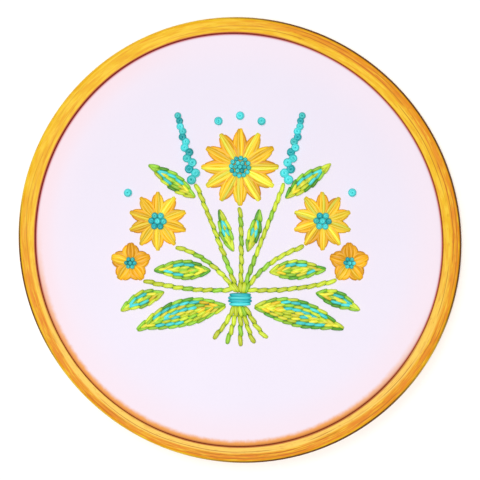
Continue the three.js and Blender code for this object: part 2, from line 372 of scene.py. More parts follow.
def srgb(red, green, blue):
    """A colour given as display values from 0 to 255, as Blender's linear colour."""
    def linear(value):
        share = value / 255
        return share / 12.92 if share <= 0.04045 else ((share + 0.055) / 1.055) ** 2.4
    return (linear(red), linear(green), linear(blue))


def colour_property(name, description, *display):
    return FloatVectorProperty(
        name=name, description=description, subtype="COLOR", size=3, min=0, max=1, default=srgb(*display)
    )


def length_property(name, description, default):
    return FloatProperty(
        name=name, description=description, default=default, min=0, unit="LENGTH", precision=5
    )


class HoopSizes(bpy.types.PropertyGroup):
    outer_wall: length_property("Outer wall", "Width of the outer ring's face", 6.3 * MM)
    inner_wall: length_property("Inner wall", "Width of the inner ring", 5.0 * MM)
    out_of_round: FloatProperty(
        name="Out of round", description="Share by which the rings are longer one way", default=0.01,
        min=0, max=0.1, subtype="FACTOR",
    )
    long_axis: FloatProperty(
        name="Long axis", description="Direction in which the rings are longer", default=math.radians(126),
        subtype="ANGLE",
    )
    golden: colour_property("Golden wood", "Main colour of the wood", 234, 182, 16)
    yellow: colour_property("Yellow wood", "Colour of the light mottling", 242, 200, 50)
    # Painted highlight: colour of the lit inner half of the face at the bottom
    pale: colour_property("Pale wood", "Colour of the pale inner half at the bottom", 246, 204, 98)
    orange: colour_property("Orange wood", "Colour of the dark streaks", 222, 124, 4)
    grain: colour_property("Grain line", "Colour of the fine grain lines", 168, 88, 10)
    # Painted shade: colour of the dark outside edge
    edge: colour_property("Outside edge", "Colour of the dark outside edge", 104, 58, 16)
    # Painted shade: colour of the outer ring's edge in the gap beside the cloth
    gap_shade: colour_property("Gap shade", "Colour of the outer ring's edge beside the cloth", 176, 78, 48)


class ClothSizes(bpy.types.PropertyGroup):
    thickness: length_property("Thickness", "Thickness of the cotton", 0.7 * MM)
    turn: length_property("Turn", "Outer radius of the turn over the inner ring", 1.5 * MM)
    cut: length_property("Cut", "Diameter of the round of cotton before it is stretched", 166 * MM)
    pitch: length_property("Pitch", "Distance between threads of the weave", 0.42 * MM)
    colour: colour_property("Cotton", "Colour of the cotton", 238, 230, 244)
    blush: colour_property("Blush", "Faint warm tint of the cotton towards its rim", 241, 224, 234)
    flush: colour_property("Flush", "Pink tint of the cotton towards its rim on the left", 244, 212, 214)
    # Painted reflection and shade: rim and hem are the orange wood's reflection at the bottom, rose is the
    # shade where the cotton turns down into the gap
    rim: colour_property("Rim", "Tint of the cotton where it rolls over at the bottom", 236, 160, 82)
    hem: colour_property("Hem", "Tint of the cotton where it turns down at the bottom", 226, 142, 72)
    rose: colour_property("Rose", "Tint of the cotton where it turns down elsewhere", 226, 92, 104)


class ThreadSizes(bpy.types.PropertyGroup):
    width: length_property("Width", "Width of the thread in the stems", 1.65 * MM)
    height: length_property("Height", "How thick a stitch is, up from the cloth", 1.3 * MM)
    stitch: length_property("Stitch", "Length of a stitch in stems and leaves", 3.6 * MM)
    orange: colour_property("Orange", "Orange thread", 255, 189, 36)
    amber: colour_property("Amber", "Orange-yellow thread", 255, 208, 52)
    yellow: colour_property("Yellow", "Yellow thread", 255, 224, 68)
    lemon: colour_property("Lemon", "Greenish yellow thread", 246, 238, 84)
    lime: colour_property("Lime", "Lime thread", 224, 240, 78)
    green: colour_property("Green", "Green thread", 172, 224, 78)
    deep_green: colour_property("Deep green", "Dark green thread", 112, 182, 66)
    turquoise: colour_property("Turquoise", "Turquoise thread", 96, 232, 232)
    teal: colour_property("Teal", "Dark turquoise thread", 60, 194, 200)


class StageSizes(bpy.types.PropertyGroup):
    floor: colour_property("Floor", "Colour of the floor", 253, 253, 253)
    sky: FloatProperty(name="Sky", description="Strength of the even light all round", default=0.2, min=0)
    backdrop: FloatProperty(
        name="Backdrop", description="How pale it is beyond the floor", default=0.86, min=0
    )
    key: FloatProperty(
        name="Key", description="Power of the lamp at the upper left", default=2.1, min=0, unit="POWER"
    )
    overhead: FloatProperty(
        name="Overhead", description="Power of the main lamp, overhead", default=11.0, min=0, unit="POWER"
    )
    lens: FloatProperty(name="Lens", description="Focal length", default=100, min=10, unit="CAMERA")
    seen: length_property("Seen", "Width seen by the camera at the hoop's face", 177.8 * MM)


class HoopArt(bpy.types.PropertyGroup):
    hoop: PointerProperty(type=HoopSizes)
    cloth: PointerProperty(type=ClothSizes)
    thread: PointerProperty(type=ThreadSizes)
    stage: PointerProperty(type=StageSizes)


# Shader nodes
class Value:
    """What a shader node puts out, to reckon with as with a number."""

    def __init__(self, tree, socket):
        self.tree = tree
        self.socket = socket

    def __add__(self, other):
        return calc("ADD", self, other)

    def __sub__(self, other):
        return calc("SUBTRACT", self, other)

    def __rsub__(self, other):
        return calc("SUBTRACT", other, self)

    def __mul__(self, other):
        return calc("MULTIPLY", self, other)

    def __truediv__(self, other):
        return calc("DIVIDE", self, other)


def feed(socket, value):
    """Links a socket to a value, or sets it to a number or an opaque colour."""
    if isinstance(value, Value):
        value.tree.links.new(value.socket, socket)
    elif socket.type == "RGBA":
        socket.default_value = (*value, 1)
    else:
        socket.default_value = value


def made(tree, kind, output, inputs=None, **settings):
    """Adds a node with its settings and inputs, and gives what it puts out."""
    node = tree.nodes.new(f"ShaderNode{kind}")
    for key, setting in settings.items():
        setattr(node, key, setting)
    for label, value in (inputs or {}).items():
        feed(node.inputs[label], value)
    return Value(tree, node.outputs[output])


def calc(operation, *values):
    tree = next(value.tree for value in values if isinstance(value, Value))
    return made(tree, "Math", 0, dict(enumerate(values)), operation=operation)


MIX_SHARE, MIX_FIRST, MIX_SECOND, MIX_RESULT = 0, 6, 7, 2  # a Mix node's sockets for colours


def tinted(colour, layers):
    """A colour with others laid over it, each by its share."""
    for share, tint in layers:
        inputs = {MIX_SHARE: share, MIX_FIRST: colour, MIX_SECOND: tint}
        colour = made(share.tree, "Mix", MIX_RESULT, inputs, data_type="RGBA")
    return colour


def stepped(value, low, high):
    """Goes smoothly from 0 at low to 1 at high."""
    inputs = {"Value": value, "From Min": low, "From Max": high}
    return made(value.tree, "MapRange", "Result", inputs, interpolation_type="SMOOTHSTEP")


def between(value, low, high):
    """Low where the value is 0, and high where it is 1."""
    return value * (high - low) + low


def noise(vector, scale, detail=2.0, roughness=0.5):
    inputs = {"Vector": vector, "Scale": scale, "Detail": detail, "Roughness": roughness}
    return made(vector.tree, "TexNoise", "Fac", inputs)


def bump(height, strength, distance):
    inputs = {"Height": height, "Strength": strength, "Distance": distance}
    return made(height.tree, "Bump", "Normal", inputs)


def object_place(tree):
    return made(tree, "TexCoord", "Object")


def noted(tree, label):
    """A number that a mesh keeps for each of its points."""
    return made(tree, "Attribute", "Fac", attribute_name=label)


def apart(vector):
    """The x, y and z of a place."""
    node = vector.tree.nodes.new("ShaderNodeSeparateXYZ")
    feed(node.inputs[0], vector)
    return [Value(vector.tree, output) for output in node.outputs]


def add_sockets(tree, way, labels):
    for label in labels:
        kind = "NodeSocketColor" if label == "Colour" else "NodeSocketFloat"
        tree.interface.new_socket(label, in_out=way, socket_type=kind)


def new_group(name, *labels):
    """A group of nodes with no outputs yet, and what it is given by each label."""
    tree = bpy.data.node_groups.new(name, "ShaderNodeTree")
    add_sockets(tree, "INPUT", labels)
    entry = tree.nodes.new("NodeGroupInput")
    return tree, {label: Value(tree, entry.outputs[label]) for label in labels}


def put_out(tree, **results):
    """Gives a group of nodes its outputs."""
    add_sockets(tree, "OUTPUT", results)
    end = tree.nodes.new("NodeGroupOutput")
    for label, value in results.items():
        feed(end.inputs[label], value)
    return tree


def placed(tree, group, **values):
    """Places a group of nodes with its own values, and gives what it puts out by label."""
    node = tree.nodes.new("ShaderNodeGroup")
    node.node_tree = group
    for label, value in values.items():
        feed(node.inputs[label], value)
    return {output.name: Value(tree, output) for output in node.outputs}


def dimmed(colour, share):
    return tuple(share * channel for channel in colour)


def place_group():
    """Where a point lies in the hoop: the radius it was turned at, its direction and its height."""
    tree, _ = new_group("Place in the hoop")
    x, y, height = apart(object_place(tree))
    away = calc("SQRT", x * x + y * y)
    return put_out(tree, Radius=noted(tree, "turned_radius"), Right=x / away, Up=y / away, Height=height)


def stretch(place, at, ends, full, strength):
    """The strength of a stretch of the hoop: full about its direction, and 0 past where it ends."""
    at, ends, full = (math.radians(angle) for angle in (at, ends, full))
    along = place["Right"] * math.cos(at) + place["Up"] * math.sin(at)
    return stepped(along, math.cos(ends), math.cos(full)) * strength


def strongest(place, stretches):
    most = 0.0
    for row in stretches:
        most = calc("MAXIMUM", most, stretch(place, **row))
    return most


def grain_group(place_tree):
    """Streaks that run round the hoop, as the grain of a bent strip does, and bands across its width, with
    masks for the painted highlights and the painted shade at the face's edges.
    """
    tree, given = new_group("Bent grain", "Inside", "Wall", "Shift")
    place = placed(tree, place_tree)
    depth = place["Radius"] + place["Height"] * GRAIN_LEAN

    def streaks(along, across, detail):
        where = {0: place["Right"] * along, 1: place["Up"] * along, 2: depth * across + given["Shift"]}
        return noise(made(tree, "CombineXYZ", 0, where), 1, detail, GRAIN_ROUGHNESS)

    streak, mottle, fibre, fleck, wander = (streaks(**row) for row in GRAIN_NOISE.values())
    across = (place["Radius"] - given["Inside"]) / given["Wall"]
    drawn = across + (wander - 0.5) * GRAIN_WANDER
    heavy = strongest(place, HEAVY_GRAIN)
    line = stepped(fleck, *LEVELS["fleck"]) * FLECK_STRENGTH
    for share, level in GRAIN_LINES:
        near = stepped(calc("ABSOLUTE", drawn - share), *LINE_WIDTH)
        broken = stepped(streaks(LINE_BREAKS, level, LINE_DETAIL), *LEVELS["line"])
        line = calc("MAXIMUM", line, near * broken)
    band = stepped(drawn, *FACE["band_inside"]) * stepped(drawn, *FACE["band_outside"])
    upper = stepped(place["Height"], *(HOOP_HEIGHT - share * EDGE_FACE_OUTSIDE for share in SHOULDER))
    shallow = stepped(across, *FACE["shallow_gap"]) * SHALLOW_GAP
    deep = stepped(across, *FACE["deep_gap"]) * strongest(place, DEEP_GAP)
    return put_out(
        tree,
        Streak=streak,
        Mottle=mottle,
        Fibre=fibre,
        Line=line * between(heavy, LINE_LEAST, 1),
        Band=band * heavy * stepped(fibre, *LEVELS["band"]),
        # painted highlight on the inner half of the face, at the bottom
        Pale=stepped(drawn, *FACE["pale"]) * stretch(place, **BOTTOM_HIGHLIGHT),
        # painted highlight on the rounded outside edge of the face
        Edge=stepped(across, *FACE["edge_highlight"]) * upper,
        Side=1 - upper,
        # painted shade on the dark outside edge, in its stretches
        Outside=stepped(across, *FACE["dark_edge"]) * upper * strongest(place, DARK_EDGE),
        # painted shade in the gap beside the cloth
        Gap=calc("MAXIMUM", shallow, deep),
    )


def thread_group():
    """Tone from stitch to stitch, painted shade as darker and deeper colour between strands, under the
    thread and at its ends, a painted highlight as paler ridges, and a little loose fibre.
    """
    tree, given = new_group("Stranded thread", "Colour", "Spread")
    furrow = noted(tree, "furrow")
    fluff = noise(object_place(tree), FLUFF_SCALE)
    swing = (noted(tree, "tone") - 0.5) * given["Spread"]
    light = swing + 1 - furrow * FURROW_SHADE + (fluff - 0.5) * FLUFF_SHADE
    gamma = furrow * FURROW_GAMMA + RIDGE_GAMMA
    deep = made(tree, "Gamma", 0, {"Color": given["Colour"], "Gamma": gamma})
    shade = {"Color": deep, "Hue": swing * HUE_SPREAD + 0.5, "Value": light}
    colour = made(tree, "HueSaturation", 0, shade)
    return put_out(tree, Colour=colour, Roughness=between(fluff, 0.36, 0.56))


def new_material(name):
    material = bpy.data.materials.new(name)
    material.use_nodes = True
    return material, material.node_tree


def dress(tree, inputs):
    """Feeds a material's shader."""
    for label, value in inputs.items():
        feed(tree.nodes["Principled BSDF"].inputs[label], value)


def wood_material(name, group, sizes, inside, wall, shift, painted_shade):
    """Bent wood; the last argument is the strength of the painted shade on the dark outside edge and in the
    gap beside the cloth.
    """
    material, tree = new_material(name)
    grain = placed(tree, group, Inside=inside, Wall=wall, Shift=shift)
    streak, mottle, fibre, line = (grain[label] for label in ("Streak", "Mottle", "Fibre", "Line"))
    layers = (
        (stepped(mottle, *LEVELS["light_mottle"]), 0.8, sizes.yellow),
        (stepped(mottle, *LEVELS["dark_mottle"]), 0.25, sizes.orange),
        (stepped(streak, *LEVELS["dark_streak"]), 0.28, sizes.orange),
        # painted highlight at the bottom
        (grain["Pale"], 0.75, sizes.pale),
        (grain["Band"], 0.9, sizes.orange),
        # painted highlight on the outside edge
        (grain["Edge"], 0.6, sizes.yellow),
        (grain["Side"], 0.3, sizes.orange),
        (stepped(fibre, *LEVELS["dark_fibre"]), 0.38, sizes.orange),
        (line, 0.7, sizes.grain),
        # painted shade on the outside edge and in the gap beside the cloth
        (grain["Outside"], painted_shade, sizes.edge),
        (grain["Gap"], painted_shade, sizes.gap_shade),
    )
    tints = [(mask * strength, tint) for mask, strength, tint in layers]
    dress(tree, {
        "Base Color": tinted(sizes.golden, tints),
        "Roughness": between(fibre, 0.4, 0.6),
        "Specular IOR Level": 0.14,
        "Coat Weight": 0.03,
        "Coat Roughness": 0.3,
        "Normal": bump(fibre + streak - line, strength=0.4, distance=0.1 * MM),
    })
    return material


def cotton_material(sizes, place_tree):
    """Plain weave: threads both ways that go over and under each other, slightly uneven."""
    material, tree = new_material("white_cotton")
    where = object_place(tree)
    spot = placed(tree, place_tree)
    slub = noise(where, SLUB_SCALE, detail=3, roughness=0.6)
    cloud = noise(where, CLOUD_SCALE, detail=3)
    x, y, _ = apart(where)
    warp, weft = (calc("SINE", axis * (math.pi / sizes.pitch) + slub * SLUB_PULL) for axis in (x, y))
    over = warp * weft * 0.5 + 0.5
    weave = calc("MAXIMUM", calc("ABSOLUTE", warp) * over, calc("ABSOLUTE", weft) * (1 - over))
    # Painted shade: darker in the pits of the weave and over the upper half; the clouds are the cotton's own
    # uneven tone
    upper = stepped(y, -UPPER_REACH, UPPER_REACH)
    shade = (PIT_LEVEL - weave) * PIT_SHADE + cloud * CLOUD_SHADE + upper * UPPER_SHADE

    def nearing(limit, place, turns):
        """Goes from 0 to 1 as a place nears a limit, between two distances in radii of the turn."""
        return stepped(place, *(limit - turn * sizes.turn for turn in turns))

    radius = spot["Radius"]
    uneven = radius + (slub - 0.5) * RIM_STRAY
    near = {
        name: nearing(CLOTH_RADIUS, uneven if name == "rim" else radius, turns)
        for name, turns in RIM_TINTS.items()
    }
    warm_side = between(stepped(spot["Up"], *BLUSH_SIDES), BLUSH_LEAST, 1)
    # Painted reflection of the orange wood on the roll and hem at the bottom, and painted shade in rose
    # where the cotton turns down into the gap
    peach = stretch(spot, **PEACH_RIM)
    hem_side = nearing(CLOTH_FACE, spot["Height"], HEM_HEIGHTS)
    hem = tinted(sizes.rose, [(peach, sizes.hem)])
    layers = (
        (shade, dimmed(sizes.colour, COTTON_DIM)),
        (near["blush"] * warm_side, sizes.blush),
        (near["flush"] * stretch(spot, **PINK_LEFT), sizes.flush),
        (near["rim"] * peach, sizes.rim),
        (near["hem"] * hem_side * HEM_STRENGTH, hem),
    )
    dress(tree, {
        "Base Color": tinted(sizes.colour, layers),
        "Roughness": between(slub, 0.8, 0.95),
        "Specular IOR Level": 0.25,
        "Sheen Weight": 0.05,
        "Normal": bump(weave + slub, strength=0.4, distance=0.06 * MM),
    })
    return material


def thread_material(colour_name, sizes):
    """The thread of that colour, made on first use."""
    name = f"{colour_name}_floss"
    if name in bpy.data.materials:
        return bpy.data.materials[name]
    material, tree = new_material(name)
    group = bpy.data.node_groups.get("Stranded thread") or thread_group()
    strands = placed(tree, group, Colour=getattr(sizes, colour_name), Spread=TONE_SPREAD)
    dress(tree, {
        "Base Color": strands["Colour"], "Roughness": strands["Roughness"], "Specular IOR Level": 0.3,
    })
    return material


# Turned shapes
def corner(radius, height, size, start, end):
    """An arc of a profile about (radius, height), between two angles in degrees."""
    angles = np.radians(np.linspace(start, end, CORNER_STEPS + 1))
    return np.column_stack((radius + size * np.cos(angles), height + size * np.sin(angles)))


def ring_profile(inside, outside, height, outer_edge, inner_edge):
    """A ring's closed section, with rounded edges and points along the straights between them."""
    corners = [
        corner(inside + EDGE_BACK, EDGE_BACK, EDGE_BACK, 180, 270),
        corner(outside - EDGE_BACK, EDGE_BACK, EDGE_BACK, 270, 360),
        corner(outside - outer_edge, height - outer_edge, outer_edge, 0, 90),
        corner(inside + inner_edge, height - inner_edge, inner_edge, 90, 180),
    ]
    share = np.linspace(0, 1, FACE_STEPS + 1)[1:-1, None]
    parts = []
    for here, there in zip(corners, corners[1:] + corners[:1]):
        parts += [here, here[-1] + (there[0] - here[-1]) * share]
    return np.concatenate(parts)


def waves(angles, table):
    return sum(size * np.sin(turns * angles + shift) for turns, shift, size in table)


def pulled_oval(points, sizes):
    """Pulls round points to the hoop's slight oval."""
    cos, sin = math.cos(sizes.long_axis), math.sin(sizes.long_axis)
    along = (points[:, 0] * cos + points[:, 1] * sin) * (1 + sizes.out_of_round)
    aside = (points[:, 1] * cos - points[:, 0] * sin) * (1 - sizes.out_of_round)
    return np.column_stack((along * cos - aside * sin, along * sin + aside * cos, points[:, 2]))


def turned(profile, sizes, lift, closed):
    """Turns a profile of (radius, height) round +Z.

    lift(angles, radius, height) says how far each point moves out and up.
    """
    count = len(profile)
    angles = np.repeat(np.arange(ROUND_STEPS) / ROUND_STEPS * TURN, count)
    radius, height = np.tile(profile, (ROUND_STEPS, 1)).T
    out, up = lift(angles, radius, height)
    reach = radius + out
    points = np.column_stack((reach * np.cos(angles), reach * np.sin(angles), height + up))
    column = np.arange(count if closed else count - 1)
    after = (column + 1) % count
    first = np.arange(ROUND_STEPS)[:, None] * count
    second = np.roll(first, -1, axis=0)
    quads = np.stack((first + column, second + column, second + after, first + after), axis=-1)
    return pulled_oval(points, sizes), quads.reshape(-1, 4), radius


def new_object(name, data):
    thing = bpy.data.objects.new(name, data)
    bpy.context.scene.collection.objects.link(thing)
    return thing


def place_piece(name, mesh, slot, *nodes):
    """Puts a finished mesh into the scene in place of its CAD nodes."""
    piece = new_object(name, mesh)
    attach(piece, "root")
    if nodes:
        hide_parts(*nodes)
    return piece


def note(mesh, label, values):
    """Keeps a number for each point of a mesh."""
    attribute = mesh.attributes.new(label, "FLOAT", "POINT")
    attribute.data.foreach_set("value", values.astype(np.float32))


def closed_mesh(name, points, faces, radius):
    """A mesh with doubled points joined and faces pointing out, which keeps each point's radius."""
    mesh = bpy.data.meshes.new(name)
    mesh.from_pydata(points.tolist(), [], faces.tolist())
    note(mesh, "turned_radius", radius)
    shape = bmesh.new()
    shape.from_mesh(mesh)
    bmesh.ops.remove_doubles(shape, verts=shape.verts, dist=JOIN_REACH)
    bmesh.ops.recalc_face_normals(shape, faces=shape.faces)
    shape.to_mesh(mesh)
    shape.free()
    mesh.shade_smooth()
    return mesh


# Stitching
CARRIED = []  # runs of thread on the back of the cloth, noted while the face is stitched


def unit(vectors):
    """Vectors in rows, or one alone, each made 1 long."""
    return vectors / np.linalg.norm(vectors, axis=-1, keepdims=True)


def left_of(way):
    """The direction to the left of a way on the cloth, 1 long."""
    return unit(np.array((-way[1], way[0])))


def lengths_along(points):
    """How far along a line each of its points lies."""
    return np.concatenate(([0], np.cumsum(np.linalg.norm(np.diff(points, axis=0), axis=1))))


def on_the_line(share):
    return 0.0


def always(colours):
    """The same colours to choose from all along a row."""
    return lambda share: colours


class Line:
    """A bent line on the cloth, given by three points in millimetres and kept in metres."""

    def __init__(self, start, bend, end, sign=1):
        start, bend, end = (np.array((sign * x, y), float) * MM for x, y in (start, bend, end))
        share = np.linspace(0, 1, LINE_STEPS)[:, None]
        self.points = start * (1 - share) ** 2 + bend * 2 * share * (1 - share) + end * share ** 2
        self.reach = lengths_along(self.points)
        self.length = self.reach[-1]

    def point(self, place):
        return np.array([np.interp(place, self.reach, axis) for axis in self.points.T])

    def at(self, share, aside=0.0):
        """The point at a share of the length, moved aside to the left of the way."""
        place = np.clip(share, 0, 1) * self.length
        ahead = min(place + WAY_STEP, self.length)
        behind = max(ahead - 2 * WAY_STEP, 0)
        return self.point(place) + aside * left_of(self.point(ahead) - self.point(behind))


class Stitchwork:
    """The stitches and knots of one piece, collected as arrays and made into one mesh."""

    def __init__(self, name, sizes):
        self.name = name
        self.sizes = sizes
        self.chance = random.Random(sum(ord(letter) * place for place, letter in enumerate(name, 1)))
        self.points, self.quads, self.tips = [], [], []
        self.tones, self.furrows, self.threads = [], [], []
        self.holes = []
        self.count = 0

    def about(self, value, spread):
        return self.chance.uniform(value - spread, value + spread)

    def sweep(self, middle, side, widths, heights, colour, dip=0.0, sides=THREAD_SIDES):
        """A stranded thread along middle; side points across it, level with the cloth.

        dip is 1 where the thread goes down into the cloth, and lies in shade.
        """
        rings = len(middle)
        way = unit(np.gradient(middle, axis=0))
        side = unit(side - way * np.sum(side * way, axis=1)[:, None])
        up = np.cross(way, side)
        angle = np.arange(sides) / sides * TURN
        turn = lengths_along(middle)[:, None] / STRAND_LAY * TURN + self.chance.random() * TURN
        ridge = np.cos(sides // SIDES_PER_STRAND * angle + turn)
        swell = 1 + STRAND_DEPTH * ridge
        across = (widths[:, None] / 2 * np.cos(angle) * swell)[..., None] * side[:, None, :]
        above = (heights[:, None] / 2 * np.sin(angle) * swell)[..., None] * up[:, None, :]
        points = (middle[:, None, :] + across + above).reshape(-1, 3)
        ring, spoke = np.meshgrid(np.arange(rings - 1), np.arange(sides), indexing="ij")
        here, after = ring * sides + spoke, ring * sides + (spoke + 1) % sides
        quads = np.stack((here, after, after + sides, here + sides), axis=-1).reshape(-1, 4)
        ends = np.array((np.arange(sides)[::-1], (rings - 1) * sides + np.arange(sides)))
        # Painted shade: darker between strands, on the underside and where the thread goes into the cloth
        hollow = FURROW_STRANDS * (1 - ridge) / 2 + FURROW_UNDER * (1 - np.sin(angle))
        hollow += FURROW_ENDS * np.broadcast_to(dip, rings)[:, None]
        self.points.append(points)
        self.quads.append(quads + self.count)
        self.tips.append(ends + self.count)
        self.furrows.append(hollow.reshape(-1))
        self.tones.append(np.full(len(points), self.chance.random()))
        self.threads.append((THREAD_COLOURS.index(colour), len(quads)))
        self.count += len(points)

    def stitch(self, start, end, colour, width, height=None, bow=0.0, shade=1.0, base=CLOTH_FACE, out=1):
        """One stitch from start to end that comes out through the cloth, swells and goes in again.

        Its ends are darker by shade. It lies on the face where out is 1 and on the back where out is -1.
        """
        width *= self.about(1, WIDTH_SPREAD)
        height = (height or self.sizes.height) * self.about(1, HEIGHT_SPREAD)
        start, end = (np.array(hole) + [self.about(0, STITCH_SLACK) for _ in hole] for hole in (start, end))
        self.holes.append((start, end, colour))
        span = end - start
        sides = THREAD_SIDES if out > 0 else BACK_SIDES
        rings = int(np.clip(np.linalg.norm(span) / RING_SPACING * sides / THREAD_SIDES, *STITCH_RINGS))
        share = 0.5 - 0.5 * np.cos(np.pi * np.linspace(0, 1, rings))
        arch = np.clip(np.sin(np.pi * share), 0, 1)
        swell = arch ** STITCH_POWER
        left = left_of(span)
        flat = start + span * share[:, None] + left * (4 * bow * share * (1 - share))[:, None]
        level = base + out * height * (STITCH_OVER * swell - STITCH_UNDER * (1 - swell))
        side = np.tile((*(out * left), 0.0), (rings, 1))
        body = STITCH_END + (1 - STITCH_END) * swell
        dip = shade * np.clip(1 - arch / STITCH_DIP, 0, 1)
        self.sweep(np.column_stack((flat, level)), side, width * body, height * body, colour, dip, sides)

    def stitches_along(self, line, colours_at, width, aside=on_the_line, span=(0, 1), slant=0.0):
        """A row of stitches along part of a line; aside(share) moves the row off the line.

        colours_at(share) gives the colours to choose from. Stitches cross the row by slant to both sides.
        """
        first, last = span
        count = max(1, round((last - first) * line.length / self.sizes.stitch))
        cuts = np.linspace(first, last, count + 1)
        for start, end in zip(cuts, cuts[1:]):
            colour = self.chance.choice(colours_at((start + end) / 2))
            first_hole = line.at(start, aside(start) - slant)
            last_hole = line.at(end, aside(end) + slant)
            self.stitch(first_hole, last_hole, colour, width)

    def padding(self, line, width, aside=on_the_line, span=(0, 1)):
        """A low dark thread laid on the cloth, which shows in the notches of the stitches over it; it has
        the painted shade of a thread's ends all along.
        """
        rings = int(np.clip((span[1] - span[0]) * line.length / MM, *PADDING_RINGS))
        path = np.array([line.at(share, aside(share)) for share in np.linspace(*span, rings)])
        way = np.gradient(path, axis=0)
        side = np.column_stack((-way[:, 1], way[:, 0], np.zeros(rings)))
        height = PADDING_HEIGHT * np.sin(np.pi * np.linspace(*PADDING_SPAN, rings)) ** PADDING_POWER
        middle = np.column_stack((path, CLOTH_FACE + PADDING_LIFT * height))
        self.sweep(middle, side, np.full(rings, width), height, "deep_green", 1.0)

    def knot(self, x, y, radius, rise, colour, base=CLOTH_FACE, turns=KNOT_TURNS):
        """Thread wound round itself and drawn down through the middle of the coil."""
        self.holes.append((np.array((x, y)), np.array((x, y)), colour))
        thick = radius * KNOT_THREAD
        share = np.linspace(0, 1, KNOT_RINGS)
        angle = self.chance.random() * TURN + share * turns * TURN
        reach = (radius - thick / 2) * (1 - KNOT_DRAWN_IN * share ** 2)
        foot, head = thick * KNOT_FOOT, rise - thick * KNOT_HEAD
        climb = np.clip(share / KNOT_CLIMB, 0, 1)
        level = base + foot + (head - foot) * climb ** KNOT_CLIMB_POWER
        level += KNOT_TILT * radius * np.sin(angle + self.chance.random() * TURN) * climb
        middle = np.column_stack((x + reach * np.cos(angle), y + reach * np.sin(angle), level))
        side = np.column_stack((-np.cos(angle), -np.sin(angle), np.zeros(KNOT_RINGS)))
        fullness = np.sqrt(np.sin(np.pi * np.clip(share * KNOT_TAPER, 0, 1)))
        body = thick * (KNOT_END + (1 - KNOT_END) * fullness)
        self.sweep(middle, side, body, body, colour)

    def carried(self):
        """Runs of thread on the back, from each stitch to the next, as rows of start, end and colour."""
        runs = []
        for (start, end, colour), (next_start, next_end, _) in zip(self.holes, self.holes[1:]):
            run = (end, next_start) if np.linalg.norm(next_start - end) > MM else (start, next_end)
            if MM < np.linalg.norm(run[1] - run[0]) < LONGEST_RUN:
                runs.append((*run, colour))
        return runs

    def finish(self, slot=None):
        """Makes the mesh and puts it into the scene, in place of the CAD node of its name unless a slot is
        given.
        """
        mesh = bpy.data.meshes.new(self.name)
        quads = np.concatenate(self.quads)
        caps = [cap.tolist() for pair in self.tips for cap in pair]
        mesh.from_pydata(np.concatenate(self.points).tolist(), [], quads.tolist() + caps)
        used = sorted({index for index, _ in self.threads})
        for index in used:
            mesh.materials.append(thread_material(THREAD_COLOURS[index], self.sizes))
        slots = [np.full(faces, used.index(index)) for index, faces in self.threads]
        slots += [np.full(2, used.index(index)) for index, _ in self.threads]
        mesh.polygons.foreach_set("material_index", np.concatenate(slots).astype(np.int32))
        note(mesh, "tone", np.concatenate(self.tones))
        note(mesh, "furrow", np.concatenate(self.furrows))
        mesh.shade_smooth()
        mesh.update()
        CARRIED.extend(self.carried())
        nodes = () if slot else (self.name,)
        place_piece(f"{self.name}_stitches", mesh, slot or slot_of(self.name), *nodes)


def slot_of(node):
    """The record's material slot of a CAD node."""
    return next(row["material_slot"] for row in frame["record"]["subparts"] if row["node"] == node)


# Operators
class HOOPART_OT_bend_rings(bpy.types.Operator):
    """Bend the outer ring that shows round the face and the inner ring under the cloth"""

    bl_idname = "hoop_art.bend_rings"
    bl_label = "Bend the rings"

    def execute(self, context):
        art = context.scene.hoop_art
        grain = grain_group(place_group())
        outer_wall, inner_wall = art.hoop.outer_wall, art.hoop.inner_wall
        bore = OUTER_RADIUS - outer_wall
        outer = ring_profile(bore, OUTER_RADIUS, HOOP_HEIGHT, EDGE_FACE_OUTSIDE, EDGE_FACE_INSIDE)
        cover = art.cloth.thickness + SEAT
        seat = CLOTH_RADIUS - cover
        inside = seat - inner_wall
        inner = ring_profile(inside, seat, CLOTH_FACE - cover, EDGE_UNDER_CLOTH, EDGE_BACK)

        def outside_true(angles, radius, height):
            inward = (OUTER_RADIUS - radius) / outer_wall
            upward = (height / HOOP_HEIGHT) ** 2
            return waves(angles, BORE_WAVES) * inward, waves(angles, RING_WAVES) * upward

        def in_the_bore(angles, radius, height):
            return waves(angles, BORE_WAVES), 0

        # The outer ring has the painted shade at its outside edge and beside the cloth; the inner ring has
        # none
        outer_wood = {"inside": bore, "wall": outer_wall, "shift": 3.1, "painted_shade": 1.0}
        inner_wood = {"inside": inside, "wall": inner_wall, "shift": 17.4, "painted_shade": 0.0}
        rings = (
            ("outer_ring", outer, outside_true, outer_wood),
            ("inner_ring", inner, in_the_bore, inner_wood),
        )
        for name, profile, lift, wood in rings:
            mesh = closed_mesh(name, *turned(profile, art.hoop, lift, True))
            mesh.materials.append(wood_material(f"{name}_wood", grain, art.hoop, **wood))
            place_piece(f"{name}_bent", mesh, "wood", name)
        return {"FINISHED"}


